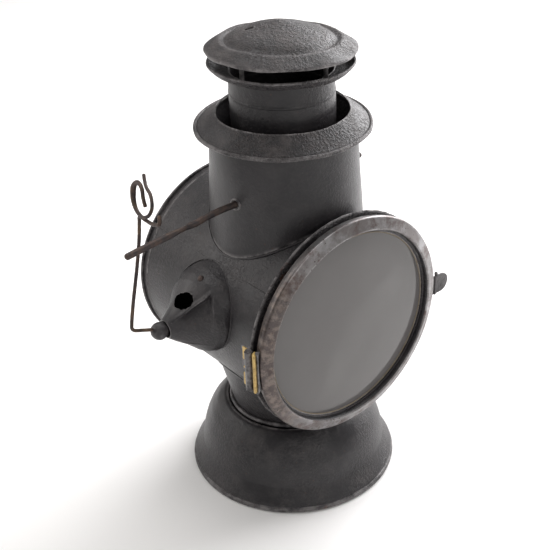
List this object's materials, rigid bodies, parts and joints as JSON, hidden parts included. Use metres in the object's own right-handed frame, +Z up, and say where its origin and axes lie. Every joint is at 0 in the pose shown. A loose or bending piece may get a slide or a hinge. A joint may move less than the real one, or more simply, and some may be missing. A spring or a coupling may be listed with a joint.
{
  "type": "railway lantern",
  "caption": "Oil-burning railway lantern: round lamp drum with hinged glass door on a flared base, with neck, draught collar, capped chimney and wick winder.",
  "frame": {"origin": "centre of the base's foot ring, on its underside", "axes": "+Z up through the chimney cap; +X out through the lens; -Y is the side of the door hinge and the wick winder"},
  "size_m": [0.1685, 0.2515, 0.368],
  "materials": {
    "case_paint": "worn satin black",
    "base_paint": "worn satin black",
    "top_paint": "worn and rust-flecked satin black",
    "bezel_tin": "tarnished tin",
    "lens_glass": "polished",
    "gasket": "matt",
    "brass": "tarnished",
    "rusty_iron": "rust brown",
    "tinplate": "dull",
    "wick_cotton": "woven"
  },
  "bodies": {
    "case": {"base_foot": "base_paint", "base_skirt": "base_paint", "boss_rivet": "rusty_iron", "burner_collar": "brass", "burner_dome": "brass", "burner_plate": "brass", "cap_struts": "top_paint", "cap_top": "top_paint", "cap_tray": "top_paint", "chimney_spider": "top_paint", "chimney_tube": "top_paint", "collar_bead": "top_paint", "door_catch": "case_paint", "draught_collar": "top_paint", "drum_shell": "case_paint", "filler_cap": "brass", "front_flange": "case_paint", "gland_ball": "rusty_iron", "hinge_leaf_case": "brass", "hinge_pin": "brass", "neck_tube": "case_paint", "oil_font": "tinplate", "rear_bead": "case_paint", "rear_cover": "case_paint", "reflector": "tinplate", "reflector_stay": "tinplate", "rod_eyelets": "case_paint", "seat_cup": "base_paint", "socket_bead": "case_paint", "socket_cone": "case_paint", "wick_tube": "brass", "winder_boss": "case_paint"},
    "door": {"door_bezel": "bezel_tin", "lens_glass": "lens_glass", "lens_gasket": "gasket", "lens_ring": "bezel_tin", "door_tab": "case_paint", "hinge_leaf_door": "brass"},
    "winder": {"winder_crank": "rusty_iron", "wick_wheel": "brass"},
    "wick": {"wick": "wick_cotton"},
    "rod": {"carrying_rod": "rusty_iron"}
  },
  "joints": [
    {"name": "door_hinge", "type": "hinge", "parent": "case", "child": "door", "pos_m": [0.0635, -0.0888, 0.1535], "axis": [0, 0, -1], "range_deg": [0, 115]},
    {"name": "winder_turn", "type": "hinge", "parent": "case", "child": "winder", "pos_m": [0.005, 0, 0.126], "axis": [-0.0906, -0.9427, 0.3211], "range_deg": [0, 150]},
    {"name": "wick_raise", "type": "slide", "parent": "case", "child": "wick", "axis": [0, 0, 1], "range_m": [-0.0108, 0]},
    {"name": "rod_turn", "type": "hinge", "parent": "case", "child": "rod", "pos_m": [0.011, 0, 0.2502], "axis": [0, 1, 0], "continuous": true}
  ],
  "couplings": [
    {"joint": "wick_raise", "follows": "winder_turn", "m_per_rad": -0.004}
  ]
}
